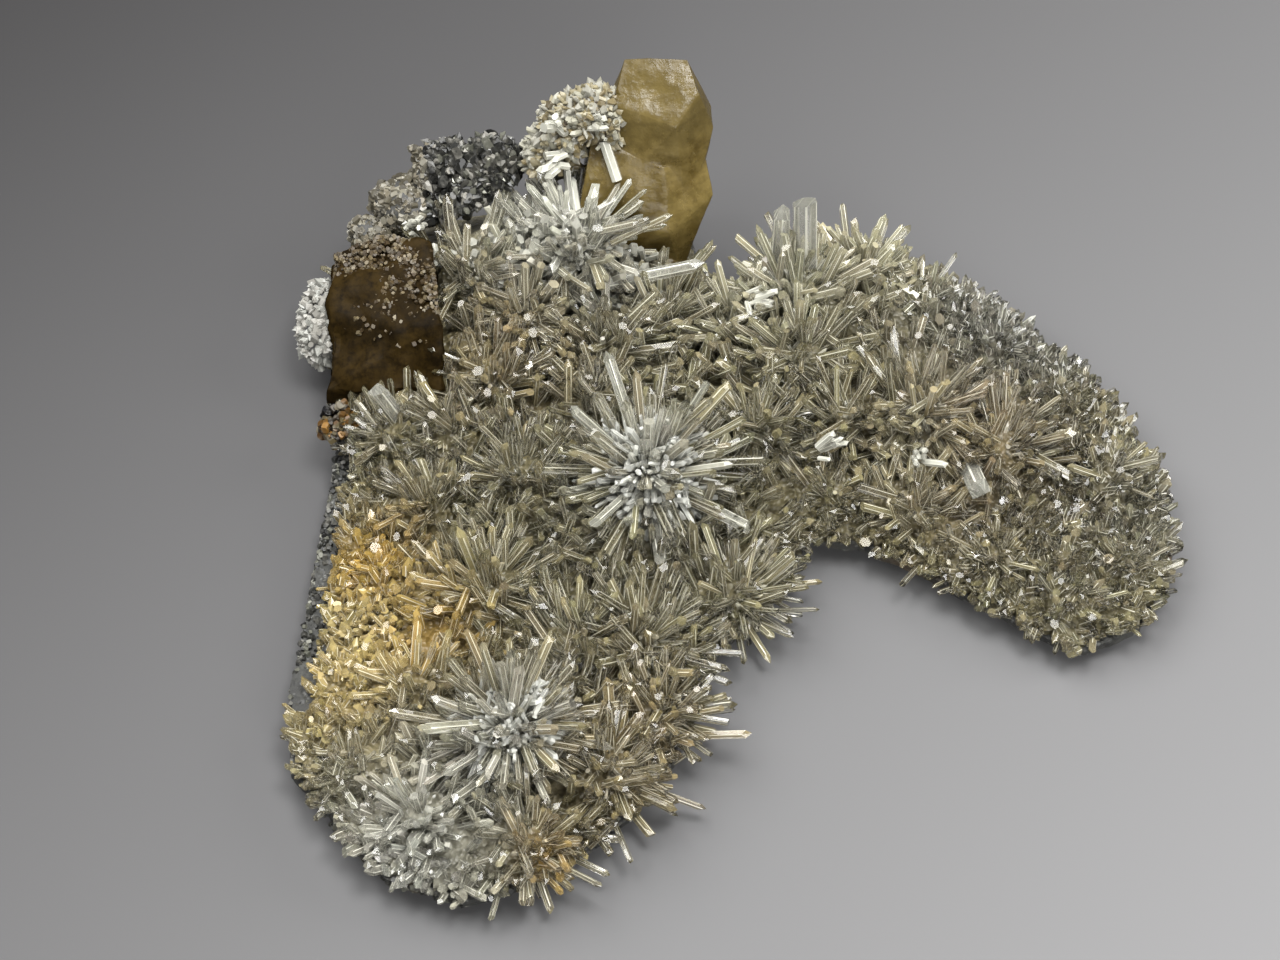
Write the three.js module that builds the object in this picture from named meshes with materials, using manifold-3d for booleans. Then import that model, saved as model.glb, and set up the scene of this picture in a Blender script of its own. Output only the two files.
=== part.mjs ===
// A needle quartz specimen: a two-lobed plate of grey rock under a crust of quartz, whose slender
// six-sided crystals stand in sprays, with honey and brown calcite and small druses along the back
// of the long lobe. Millimetres, +Z up, looked at from -Y.
// The origin is the middle of the specimen's box, on its flat underside.
import * as THREE from "three";
import { ConvexGeometry } from "three/addons/geometries/ConvexGeometry.js";
import { mergeVertices } from "three/addons/utils/BufferGeometryUtils.js";
import Module from "manifold-3d";

const wasm = await Module();
wasm.setup();

// Driving dimensions
const GAP = 0.3; // between two neighbouring pieces
const ROCK_EDGE = 4.5; // height of the rock at its rim
const CRUST_EDGE = 1.8; // thickness of the quartz crust at the rim
const CRUST = 2.6; // and inside it, between the sprays
const CRUST_ROUGH = 3; // height of the short crystals that roughen the crust
const EDGE_RUN = 7; // distance from the rim over which rock and crust reach their full height
const FOOT_BEVEL = 3; // chamfer round the flat underside
const FIELD = 168; // side of the square that rock and crust are cut from
const ROCK_CELLS = 12; // facets along that square for the rock's top
const CRUST_CELLS = 28; // and for the crust's top
const BELOW = -12; // a level safely under the specimen
const ABOVE = 60; // and one safely over it
const NEEDLE_SIDES = 6; // quartz is six-sided
const NEEDLE_WIDTH = 0.08; // a leading needle's radius as a share of its spray's reach
const TIP = 2.2; // length of a needle's point, in needle radii
const MOUND_RISE = 0.2; // height of the mound of short needles in a spray, as a share of its reach
const MOUND_REACH = 0.75; // and that mound's radius
const GOLDEN_ANGLE = Math.PI * (3 - Math.sqrt(5)); // turns each needle away from the one before

// The rock's rim seen from above, anticlockwise from the toe of the long lobe
const RIM = [
  [-45, -69], [-34, -66], [-25, -60], [-17, -52], [-11, -43], [-8, -34], [-6, -25], [0, -18], [8, -9],
  [13, 0], [21, 0], [30, -5], [39, -11], [48, -17], [57, -22], [68, -17], [73, -9], [75, 0], [73, 14],
  [67, 27], [59, 38], [50, 47], [41, 54], [31, 59], [20, 61], [9, 58], [0, 49], [-5, 55], [-8, 65],
  [-16, 71], [-34, 73], [-48, 70], [-60, 68], [-68, 60], [-72, 48], [-71, 34], [-69, 21], [-70, 9],
  [-71.5, -4], [-73, -18], [-74.5, -32], [-73, -45], [-66, -55], [-57, -65],
];

// Swells that lift the rock above its rim: centre, rise and reach
const SWELLS = [
  { at: [-28, 65], rise: 18, reach: 17 },
  { at: [-48, 62], rise: 9, reach: 14 },
  { at: [-56, 38], rise: 4, reach: 18 },
  { at: [-26, 10], rise: 5, reach: 30 },
  { at: [-42, -40], rise: 4, reach: 24 },
  { at: [26, 38], rise: 9, reach: 22 },
  { at: [16, 51], rise: 6, reach: 12 },
  { at: [58, 14], rise: 4, reach: 18 },
];

// Sprays of needles: root on the rock, reach of the needles, how many lead, opening half-angle
// in degrees, lean of the axis, and rise of the root above the rock
const CROWN_SPRAYS = [
  { at: [-27, 53], reach: 15, needles: 4, spread: 68, lean: [0.1, 0] },
  { at: [-46, 50], reach: 12, needles: 3, spread: 62, lean: [-0.1, -0.1] },
  { at: [-37, 43], reach: 14, needles: 4, spread: 62, lean: [0, -0.2] },
  { at: [-42, 30], reach: 13, needles: 3, spread: 55, lean: [0, -0.6] },
  { at: [-23, 37], reach: 15, needles: 4, spread: 66, lean: [0.2, -0.3] },
  { at: [-12, 44], reach: 13, needles: 3, spread: 60, lean: [0.5, 0] },
];
const HEART_SPRAYS = [
  { at: [-25, 25], reach: 12, needles: 3, spread: 64, lean: [0, 0] },
  { at: [-15, 8.5], reach: 20, needles: 11, spread: 78, lean: [0, -0.6], rise: 4 },
  { at: [-49, 20], reach: 11, needles: 2, spread: 62, lean: [-0.1, 0] },
  { at: [-37, 10], reach: 12, needles: 2, spread: 62, lean: [0, 0] },
  { at: [-52, 5], reach: 11, needles: 2, spread: 60, lean: [-0.2, 0] },
  { at: [-59, 19], reach: 10, needles: 2, spread: 60, lean: [-0.5, 0.1] },
  { at: [-41, -13], reach: 13, needles: 3, spread: 64, lean: [0.2, 0.2] },
  { at: [0, -12], reach: 12, needles: 4, spread: 66, lean: [0.4, -0.3] },
];
const TOE_SPRAYS = [
  { at: [-16, -23], reach: 14, needles: 3, spread: 66, lean: [0.2, -0.3] },
  { at: [-28, -24], reach: 12, needles: 2, spread: 62, lean: [0, -0.1] },
  { at: [-37, -41.5], reach: 17, needles: 8, spread: 76, lean: [0, -0.6], rise: 4 },
  { at: [-52, -56], reach: 11, needles: 4, spread: 60, lean: [0, 0] },
  { at: [-22, -47], reach: 14, needles: 3, spread: 64, lean: [0.6, -0.3] },
  { at: [-13, -35], reach: 12, needles: 3, spread: 60, lean: [0.7, -0.1] },
  { at: [-34, -60], reach: 11, needles: 3, spread: 60, lean: [0.4, -0.6] },
  { at: [-53, -32], reach: 11, needles: 2, spread: 62, lean: [-0.1, 0] },
  { at: [-64, -47], reach: 8, needles: 3, spread: 60, lean: [-0.2, 0] },
  { at: [-66, -28], reach: 7, needles: 2, spread: 55, lean: [-0.5, 0] },
  { at: [-60, -8], reach: 8, needles: 2, spread: 55, lean: [-0.5, 0] },
];
const WING_SPRAYS = [
  { at: [23, 54], reach: 12, needles: 3, spread: 64, lean: [0.1, 0.3] },
  { at: [11, 46], reach: 15, needles: 4, spread: 68, lean: [-0.3, 0.3] },
  { at: [11, 33], reach: 14, needles: 4, spread: 66, lean: [-0.2, -0.3] },
  { at: [1, 41], reach: 12, needles: 3, spread: 62, lean: [-0.4, 0.1] },
  { at: [20, 21], reach: 13, needles: 3, spread: 66, lean: [-0.1, -0.3] },
  { at: [32, 22], reach: 15, needles: 4, spread: 62, lean: [0, -0.6] },
  { at: [46, 17], reach: 13, needles: 3, spread: 60, lean: [0.1, -0.7] },
  { at: [46, 38], reach: 8, needles: 2, spread: 60, lean: [0.2, 0.2] },
  { at: [34, 46], reach: 9, needles: 2, spread: 62, lean: [0.1, 0.3] },
  { at: [64, 12], reach: 10, needles: 3, spread: 62, lean: [0.4, 0] },
  { at: [66, -6], reach: 9, needles: 3, spread: 62, lean: [0.4, -0.1] },
  { at: [44, -5], reach: 9, needles: 3, spread: 62, lean: [0, -0.3] },
  { at: [56, -13], reach: 9, needles: 3, spread: 62, lean: [0, -0.5] },
  { at: [30, 5], reach: 10, needles: 3, spread: 62, lean: [0, -0.4] },
  { at: [17, 8], reach: 9, needles: 3, spread: 62, lean: [0, -0.4] },
  { at: [4, 20], reach: 12, needles: 3, spread: 64, lean: [0.2, 0] },
  { at: [59, 27], reach: 8, needles: 2, spread: 58, lean: [0.4, 0.4] },
];
const SPRAYS = [...CROWN_SPRAYS, ...HEART_SPRAYS, ...TOE_SPRAYS, ...WING_SPRAYS];

// Stout crystals that stand out on their own: foot, tip and radius
const STOUT_CRYSTALS = [
  { foot: [-22, 46, 18], tip: [-6.4, 46.5, 22.5], radius: 1.3 },
  { foot: [-57, 22, 8], tip: [-61.4, 20.2, 22], radius: 1.6 },
  { foot: [8, 50, 10], tip: [8.4, 52.3, 30], radius: 1.7 },
  { foot: [13, 50, 12], tip: [12.3, 53.8, 32], radius: 2.4 },
  { foot: [40, 13, 10], tip: [41.3, 3.6, 15], radius: 2 },
];

// Calcite crystals as the corners of convex blocks
const HONEY_LOWER = [
  [-26, 54, 10], [-9, 55, 9], [-26, 70, 10], [-8, 68, 8], [-27, 58, 22], [-3.4, 62.8, 22], [-11, 56.5, 19],
  [-26, 73, 26], [-5, 71, 24], [-5.2, 67.5, 28], [-12, 63, 29], [-25, 66, 33],
];
const HONEY_UPPER = [
  [-25, 59, 20], [-8, 60, 20], [-5.5, 66, 24], [-25, 75, 22], [-6, 74, 22], [-3.4, 70, 32], [-3.8, 74, 33],
  [-10, 66.5, 36], [-6, 71.5, 39], [-21, 70, 38], [-19, 77, 42], [-8, 77, 42],
];
const HONEY_FOOT = [
  [-15, 50, 6], [-7, 50, 3], [-14, 60, 4], [-6, 58, 3], [-15, 50, 13], [-5, 54, 9], [-13, 60, 14],
  [-8, 51, 12],
];
const BROWN_BLOCK = [
  [-71, 28, 5], [-51, 26.5, 6], [-71, 54, 6], [-53, 54, 8], [-71, 29, 9.5], [-51, 27, 13], [-70, 41, 16],
  [-51, 34.5, 21], [-70, 53, 17.5], [-53, 51, 23], [-61, 54, 22],
];

// Druses: rough lumps, each studded with short crystals
const PALE_DRUSE = [
  { at: [-32.5, 67.5, 25.5], size: [3.8, 5, 6.5], seed: 3, studs: 2, stud: 1.4 },
  { at: [-29.5, 70, 30.5], size: [5, 5, 5], seed: 4, studs: 2, stud: 1.6 },
  { at: [-24, 70.5, 33.5], size: [5.5, 5.5, 5.5], seed: 6, studs: 2, stud: 1.8 },
];
const DARK_DRUSE = [
  { at: [-43, 66.5, 24.5], size: [5.5, 6, 6], seed: 7, studs: 2, stud: 2 },
  { at: [-51, 67, 23], size: [6, 5.5, 5.5], seed: 8, studs: 2, stud: 2 },
  { at: [-46, 62, 20.5], size: [7, 5, 5.5], seed: 2, studs: 2, stud: 1.6 },
  { at: [-58, 63, 18.5], size: [6, 5.5, 5], seed: 11, studs: 2, stud: 1.6 },
  { at: [-64, 58.5, 15], size: [4.5, 4.5, 4], seed: 12, studs: 1, stud: 1.4 },
];
const EDGE_DRUSE = [{ at: [-73, 44, 9], size: [3.5, 8, 5], seed: 5, studs: 3, stud: 1.5 }];
const RUSTY_NUB = [{ at: [-68.5, 21.5, 9.5], size: [3.4, 3.6, 3.4], seed: 9, studs: 3, stud: 1.2 }];

// Repeatable scatter: a number from 0 to 1 for any pair of whole numbers
function scatter(i, j) {
  const s = Math.sin(i * 12.9898 + j * 78.233) * 43758.5453;
  return s - Math.floor(s);
}

// A three.js geometry with only its positions, and one point for each corner
function weld(geometry) {
  return mergeVertices(geometry.clone().deleteAttribute("normal").deleteAttribute("uv"), 1e-3);
}

// A closed geometry as a solid that can be joined and cut
function solidOf(geometry) {
  const welded = weld(geometry);
  const corners = welded.index.array;
  const triVerts = [];
  for (let i = 0; i < corners.length; i += 3) {
    const [a, b, c] = corners.subarray(i, i + 3);
    if (a !== b && b !== c && c !== a) triVerts.push(a, b, c);
  }
  return new wasm.Manifold(
    new wasm.Mesh({
      numProp: 3,
      vertProperties: welded.attributes.position.array,
      triVerts: new Uint32Array(triVerts),
    }),
  );
}

// The solid's largest body as a flat-shaded geometry: crumbs that a cut leaves loose are dropped
function geometryOf(solid) {
  const bodies = solid.decompose().sort((a, b) => b.volume() - a.volume());
  const mesh = bodies[0].getMesh();
  const geometry = new THREE.BufferGeometry();
  geometry.setAttribute("position", new THREE.BufferAttribute(mesh.vertProperties, mesh.numProp));
  geometry.setIndex(new THREE.BufferAttribute(mesh.triVerts, 1));
  const flat = geometry.toNonIndexed();
  flat.computeVertexNormals();
  return flat;
}

const joined = (solids) => solids.reduce((whole, solid) => whole.add(solid));

// How far a spot lies inside the rim: 0 on it and outside, 1 from the edge run inwards
const RIM_LINES = RIM.map(([x, y], i) => {
  const next = RIM[(i + 1) % RIM.length];
  return new THREE.Line3(new THREE.Vector3(x, y, 0), new THREE.Vector3(next[0], next[1], 0));
});
function rimShare(x, y) {
  const spot = new THREE.Vector3(x, y, 0);
  const nearest = new THREE.Vector3();
  let far = Infinity;
  let inside = false;
  for (const line of RIM_LINES) {
    const { start, end } = line;
    far = Math.min(far, line.closestPointToPoint(spot, true, nearest).distanceTo(spot));
    const across = start.x + ((y - start.y) / (end.y - start.y)) * (end.x - start.x);
    if (start.y > y !== end.y > y && x < across) inside = !inside;
  }
  return inside ? Math.min(1, far / EDGE_RUN) : 0;
}

// Height of the rock's top above the underside
function rockHeight(x, y) {
  const swell = SWELLS.reduce((sum, { at, rise, reach }) => {
    const far = Math.hypot(x - at[0], y - at[1]) / reach;
    return sum + rise * Math.exp(-far * far);
  }, 0);
  const rough = scatter(Math.round(x), Math.round(y)) - 0.5;
  return ROCK_EDGE + rimShare(x, y) * (swell + rough);
}

// Height of the crust's top, with a mound of short needles at the heart of every spray
function crustHeight(x, y) {
  const mounds = SPRAYS.map(({ at, reach }) => {
    const far = Math.hypot(x - at[0], y - at[1]) / (MOUND_REACH * reach);
    return MOUND_RISE * reach * Math.max(0, 1 - far * far);
  });
  const rough = CRUST_ROUGH * scatter(Math.round(10 * x), Math.round(10 * y));
  const thick = CRUST - CRUST_EDGE + rough + Math.max(...mounds);
  return rockHeight(x, y) + CRUST_EDGE + rimShare(x, y) * thick;
}

// A square block with a flat underside and a faceted top at the given height
function block(height, cells) {
  const geometry = new THREE.BoxGeometry(FIELD, FIELD, 1, cells, cells, 1);
  const points = geometry.attributes.position;
  for (let i = 0; i < points.count; i++) {
    points.setZ(i, points.getZ(i) > 0 ? height(points.getX(i), points.getY(i)) : BELOW);
  }
  return solidOf(geometry);
}

// An upright prism on the rim, grown outwards, standing on a flat chamfered foot
function rimPrism(grow) {
  const shape = new THREE.Shape(RIM.map(([x, y]) => new THREE.Vector2(x, y)));
  const geometry = new THREE.ExtrudeGeometry(shape, {
    depth: ABOVE,
    bevelThickness: FOOT_BEVEL,
    bevelSize: FOOT_BEVEL,
    bevelOffset: grow - FOOT_BEVEL,
    bevelSegments: 1,
  });
  return solidOf(geometry.translate(0, 0, FOOT_BEVEL - grow));
}

// One quartz crystal from its foot to its tip: a six-sided prism with a six-sided point
function quartzCrystal(foot, tip, radius) {
  const along = tip.clone().sub(foot);
  const length = along.length();
  const point = Math.min(TIP * radius, 0.5 * length);
  const profile = [[0, 0], [0.92 * radius, 0], [radius, length - point], [0, length]];
  const outline = profile.map(([r, y]) => new THREE.Vector2(r, y));
  const geometry = new THREE.LatheGeometry(outline, NEEDLE_SIDES);
  const turn = new THREE.Quaternion().setFromUnitVectors(new THREE.Vector3(0, 1, 0), along.normalize());
  return solidOf(geometry.applyQuaternion(turn).translate(...foot));
}

// Directions spread evenly round an axis, out to a half-angle in degrees
function fan(count, spread, axis, turn) {
  const upright = new THREE.Quaternion().setFromUnitVectors(new THREE.Vector3(0, 1, 0), axis);
  return Array.from({ length: count }, (_, k) => {
    const polar = THREE.MathUtils.degToRad(spread) * Math.sqrt((k + 0.4) / count);
    const direction = new THREE.Vector3().setFromSphericalCoords(1, polar, k * GOLDEN_ANGLE + turn);
    return direction.applyQuaternion(upright);
  });
}

// The leading needles of a spray, opening from one root
function spray({ at, reach, needles, spread, lean, rise = GAP }, number) {
  const [x, y] = at;
  const root = new THREE.Vector3(x, y, rockHeight(x, y) + rise);
  const axis = new THREE.Vector3(...lean, 1).normalize();
  const crystals = fan(needles, spread, axis, number).map((direction, k) => {
    const foot = root.clone().addScaledVector(direction, 0.25 * reach);
    const tip = root.clone().addScaledVector(direction, reach * (0.85 + 0.25 * scatter(k, number)));
    return quartzCrystal(foot, tip, NEEDLE_WIDTH * reach * (0.8 + 0.5 * scatter(number, k)));
  });
  return joined(crystals);
}

const hull = (corners) => new ConvexGeometry(corners.map((corner) => new THREE.Vector3(...corner)));

// A block or lump grown by the gap on every side, for cutting its neighbours back
function roomFor(geometry) {
  geometry.computeBoundingBox();
  const middle = geometry.boundingBox.getCenter(new THREE.Vector3());
  const size = geometry.boundingBox.getSize(new THREE.Vector3());
  const grow = size.clone().addScalar(3 * GAP).divide(size);
  const centred = geometry.clone().translate(...middle.clone().negate());
  return solidOf(centred.scale(...grow).translate(...middle));
}

// A rough lump: a faceted ball whose corners are pushed in and out
function lump({ at, size, seed }) {
  const geometry = weld(new THREE.IcosahedronGeometry(1, 1));
  const points = geometry.attributes.position;
  const corner = new THREE.Vector3();
  for (let i = 0; i < points.count; i++) {
    corner.fromBufferAttribute(points, i).multiplyScalar(0.85 + 0.3 * scatter(i, seed));
    points.setXYZ(i, corner.x * size[0], corner.y * size[1], corner.z * size[2]);
  }
  return geometry.translate(...at);
}

// A lump studded with short crystals that point away from its middle
function studdedLump({ at, size, seed, studs, stud }) {
  const middle = new THREE.Vector3(...at);
  const half = new THREE.Vector3(...size);
  const crystals = fan(studs, 85, new THREE.Vector3(0, 0, 1), seed).map((direction, k) => {
    const surface = direction.clone().multiply(half).add(middle);
    const foot = surface.clone().addScaledVector(direction, -1.2 * stud);
    const tip = surface.addScaledVector(direction, stud * (0.5 + 0.5 * scatter(k, seed)));
    return quartzCrystal(foot, tip, 0.55 * stud);
  });
  return joined([solidOf(lump({ at, size, seed })), ...crystals]);
}

// The rock and the calcites that stand on it
const rock = block(rockHeight, ROCK_CELLS).intersect(rimPrism(0));
const rockRoom = block((x, y) => rockHeight(x, y) + GAP, ROCK_CELLS).intersect(rimPrism(GAP));
const honeyBlocks = [HONEY_LOWER, HONEY_UPPER, HONEY_FOOT].map(hull);
const brownBlock = hull(BROWN_BLOCK);
const honey = joined(honeyBlocks.map(solidOf)).subtract(rockRoom);
const brown = solidOf(brownBlock).subtract(rockRoom);
const baseRoom = joined([rockRoom, ...honeyBlocks.map(roomFor), roomFor(brownBlock)]);

// The quartz crust with its sprays, cut back from the rock, the calcites and the druses
const druses = [PALE_DRUSE, DARK_DRUSE, EDGE_DRUSE, RUSTY_NUB];
const druseRoom = joined(druses.flat().map((shape) => roomFor(lump(shape))));
const crust = block(crustHeight, CRUST_CELLS).intersect(rimPrism(0)).subtract(baseRoom);
const sprays = SPRAYS.map(spray);
const stout = STOUT_CRYSTALS.map(({ foot, tip, radius }) =>
  quartzCrystal(new THREE.Vector3(...foot), new THREE.Vector3(...tip), radius),
);
const needles = joined([...sprays, ...stout]).subtract(druseRoom).subtract(baseRoom);
const quartz = crust.add(needles);

// The druses, cut back from the crust and the calcites
const crustRoom = block((x, y) => crustHeight(x, y) + GAP, CRUST_CELLS).intersect(rimPrism(GAP));
const druse = (lumps) => joined(lumps.map(studdedLump)).subtract(crustRoom).subtract(baseRoom);

// The specimen
const PIECES = [
  { name: "matrix", solid: rock, color: 0x6d6c68, roughness: 0.9 },
  { name: "needle_quartz", solid: quartz, color: 0xc9c8b8, roughness: 0.2 },
  { name: "honey_calcite", solid: honey, color: 0xa8873f, roughness: 0.25 },
  { name: "brown_calcite", solid: brown, color: 0x54422a, roughness: 0.3 },
  { name: "pale_druse", solid: druse(PALE_DRUSE), color: 0xcfc7b4, roughness: 0.4 },
  { name: "dark_druse", solid: druse(DARK_DRUSE), color: 0x4a4b4c, roughness: 0.4 },
  { name: "edge_druse", solid: druse(EDGE_DRUSE), color: 0xdcdad0, roughness: 0.4 },
  { name: "rusty_nub", solid: druse(RUSTY_NUB), color: 0xa06a24, roughness: 0.5 },
];

const specimen = new THREE.Group();
for (const { name, solid, color, roughness } of PIECES) {
  const material = new THREE.MeshStandardMaterial({ color, roughness, metalness: 0 });
  const mesh = new THREE.Mesh(geometryOf(solid), material);
  mesh.name = name;
  specimen.add(mesh);
}

// The origin goes to the middle of the specimen's box, at the level of its underside
const box = new THREE.Box3().setFromObject(specimen);
const middle = box.getCenter(new THREE.Vector3());
specimen.position.set(-middle.x, -middle.y, -box.min.z);

export default specimen;
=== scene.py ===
"""Looks of a needle quartz specimen: rock, quartz needles in sprays, calcites and druses,
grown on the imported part."""

import math

import bmesh
import bpy
import numpy as np
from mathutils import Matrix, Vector, noise
from mathutils.bvhtree import BVHTree


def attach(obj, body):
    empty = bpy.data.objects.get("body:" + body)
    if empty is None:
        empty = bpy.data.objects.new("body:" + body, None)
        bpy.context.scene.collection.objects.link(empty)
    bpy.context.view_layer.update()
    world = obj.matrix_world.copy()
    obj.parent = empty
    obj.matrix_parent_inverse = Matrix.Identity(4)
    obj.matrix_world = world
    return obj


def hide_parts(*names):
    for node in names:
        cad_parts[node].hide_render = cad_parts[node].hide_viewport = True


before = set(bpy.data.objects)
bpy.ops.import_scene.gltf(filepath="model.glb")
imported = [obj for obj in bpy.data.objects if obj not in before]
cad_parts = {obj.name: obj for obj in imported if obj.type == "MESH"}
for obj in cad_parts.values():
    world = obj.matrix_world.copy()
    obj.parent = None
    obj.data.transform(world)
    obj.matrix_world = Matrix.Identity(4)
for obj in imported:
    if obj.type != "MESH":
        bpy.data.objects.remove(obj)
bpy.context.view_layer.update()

# Named values, in millimetres of the part's drawing unless a line says otherwise
MM = 0.001
SHIFT = (0.85, -4.0, 0.0)  # from the drawing's own origin to the frame's
SEED = 11
GOLDEN_ANGLE = math.pi * (3 - math.sqrt(5))
LEADER_WIDTH = 0.05  # radius of a spray's leading needles as a share of its reach
USUAL_LENGTH = 9.5  # of the needles between the sprays
GREAT_FILL = 1.25  # sprays that fill in more thickly than this stand out as full stars
MAT_SPACING = 2.3
SUGAR_SPACING = 1.3
CROWN_SPACING = 1.5
CROWN_MIDDLE = (-28.0, 52.0)
CROWN_HALF = (19.0, 8.0)
SHAPE_LENGTH = 20  # length of a crystal shape's prism, in its radii
EDGE_BLUNTING = 0.35
QUARTZ_IOR = 1.544
CALCITE_IOR = 1.6

# The rock's rim seen from above, anticlockwise from the toe of the long lobe
RIM = [
    (-45, -69), (-34, -66), (-25, -60), (-17, -52), (-11, -43), (-8, -34), (-6, -25), (0, -18), (8, -9),
    (13, 0), (21, 0), (30, -5), (39, -11), (48, -17), (57, -22), (68, -17), (73, -9), (75, 0), (73, 14),
    (67, 27), (59, 38), (50, 47), (41, 54), (31, 59), (20, 61), (9, 58), (0, 49), (-5, 55), (-8, 65),
    (-16, 71), (-34, 73), (-48, 70), (-60, 68), (-68, 60), (-72, 48), (-71, 34), (-69, 21), (-70, 9),
    (-71.5, -4), (-73, -18), (-74.5, -32), (-73, -45), (-66, -55), (-57, -65),
]

# Sprays: root, reach, leading needles, opening half-angle, lean of the axis,
# and how thickly the rest fill in
SPRAYS = [
    ((-27, 53), 15, 4, 68, (0.1, 0.0), 1.2),
    ((-46, 50), 12, 3, 62, (-0.1, -0.1), 1.0),
    ((-37, 43), 14, 4, 62, (0.0, -0.2), 1.1),
    ((-42, 30), 13, 3, 55, (0.0, -0.6), 1.2),
    ((-23, 37), 15, 4, 66, (0.2, -0.3), 1.1),
    ((-12, 44), 13, 3, 60, (0.5, 0.0), 1.0),
    ((-25, 25), 12, 3, 64, (0.0, 0.0), 0.9),
    ((-15, 8.5), 20, 11, 78, (0.0, -0.6), 1.3),
    ((-49, 20), 11, 2, 62, (-0.1, 0.0), 1.0),
    ((-37, 10), 12, 2, 62, (0.0, 0.0), 1.0),
    ((-52, 5), 11, 2, 60, (-0.2, 0.0), 1.0),
    ((-59, 19), 10, 2, 60, (-0.5, 0.1), 1.0),
    ((-41, -13), 13, 3, 64, (0.2, 0.2), 1.0),
    ((0, -12), 12, 4, 66, (0.4, -0.3), 1.1),
    ((-16, -23), 14, 3, 66, (0.2, -0.3), 1.1),
    ((-28, -24), 12, 2, 62, (0.0, -0.1), 1.0),
    ((-37, -41.5), 17, 8, 76, (0.0, -0.6), 1.3),
    ((-52, -56), 11, 4, 60, (0.0, 0.0), 1.0),
    ((-22, -47), 14, 3, 64, (0.6, -0.3), 1.1),
    ((-13, -35), 12, 3, 60, (0.7, -0.1), 1.0),
    ((-34, -60), 11, 3, 60, (0.4, -0.6), 1.0),
    ((-53, -32), 11, 2, 62, (-0.1, 0.0), 0.5),
    ((-64, -47), 8, 3, 60, (-0.2, 0.0), 0.4),
    ((-66, -28), 7, 2, 55, (-0.5, 0.0), 0.2),
    ((-60, -8), 8, 2, 55, (-0.5, 0.0), 0.2),
    ((23, 54), 12, 3, 64, (0.1, 0.3), 1.1),
    ((11, 46), 15, 4, 68, (-0.3, 0.3), 1.2),
    ((11, 33), 14, 4, 66, (-0.2, -0.3), 1.1),
    ((1, 41), 12, 3, 62, (-0.4, 0.1), 1.0),
    ((20, 21), 13, 3, 66, (-0.1, -0.3), 1.1),
    ((32, 22), 15, 4, 62, (0.0, -0.6), 1.2),
    ((46, 17), 13, 3, 60, (0.1, -0.7), 1.2),
    ((46, 38), 8, 2, 60, (0.2, 0.2), 0.3),
    ((34, 46), 9, 2, 62, (0.1, 0.3), 0.4),
    ((64, 12), 10, 3, 62, (0.4, 0.0), 0.4),
    ((66, -6), 9, 3, 62, (0.4, -0.1), 0.4),
    ((44, -5), 9, 3, 62, (0.0, -0.3), 1.0),
    ((56, -13), 9, 3, 62, (0.0, -0.5), 0.5),
    ((30, 5), 10, 3, 62, (0.0, -0.4), 1.0),
    ((17, 8), 9, 3, 62, (0.0, -0.4), 1.0),
    ((4, 20), 12, 3, 64, (0.2, 0.0), 1.0),
    ((59, 27), 8, 2, 58, (0.4, 0.4), 0.4),
]

# Stout crystals that stand out on their own: foot, tip and radius
STOUT_CRYSTALS = [
    ((-22, 46, 18), (-6.4, 46.5, 22.5), 1.3),
    ((-57, 22, 8), (-61.4, 20.2, 22), 1.6),
    ((8, 50, 10), (8.4, 52.3, 30), 1.7),
    ((13, 50, 12), (12.3, 53.8, 32), 2.4),
    ((40, 13, 10), (41.3, 3.6, 15), 2.0),
]

# Milky white crystals, some real white blades and some standing for glints of facets as painted
# highlights: place, direction, how many, length and radius
WHITE_AND_GLINT_CRYSTALS = [
    ((-20.3, 61.2, 28.0), (-2.0, 3.6, 5.0), 1, 6.5, 0.9),
    ((-25.0, 67.0, 37.0), (0.3, -0.5, 0.7), 6, 4.0, 0.6),
    ((3.0, 41.8, 18.5), (0.6, -0.3, 0.7), 7, 4.0, 0.55),
    ((14.5, 10.8, 16.5), (0.6, -0.3, 0.7), 7, 4.0, 0.55),
    ((31.5, 10.5, 15.5), (0.0, -0.5, 0.8), 9, 4.5, 0.6),
    ((-31.5, 62.5, 31.0), (-0.5, -0.6, 0.5), 6, 3.0, 0.8),
    ((-30.0, 66.0, 36.0), (-0.5, -0.1, 0.8), 5, 3.0, 0.8),
    ((-55.8, 57.6, 20.0), (-0.3, -0.6, 0.7), 8, 3.0, 0.6),
    ((-54.3, 52.8, 17.9), (0.1, -0.6, 0.7), 8, 3.0, 0.6),
    ((-52.5, 51.5, 17.0), (0.3, -0.6, 0.7), 8, 3.5, 0.6),
]
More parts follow.
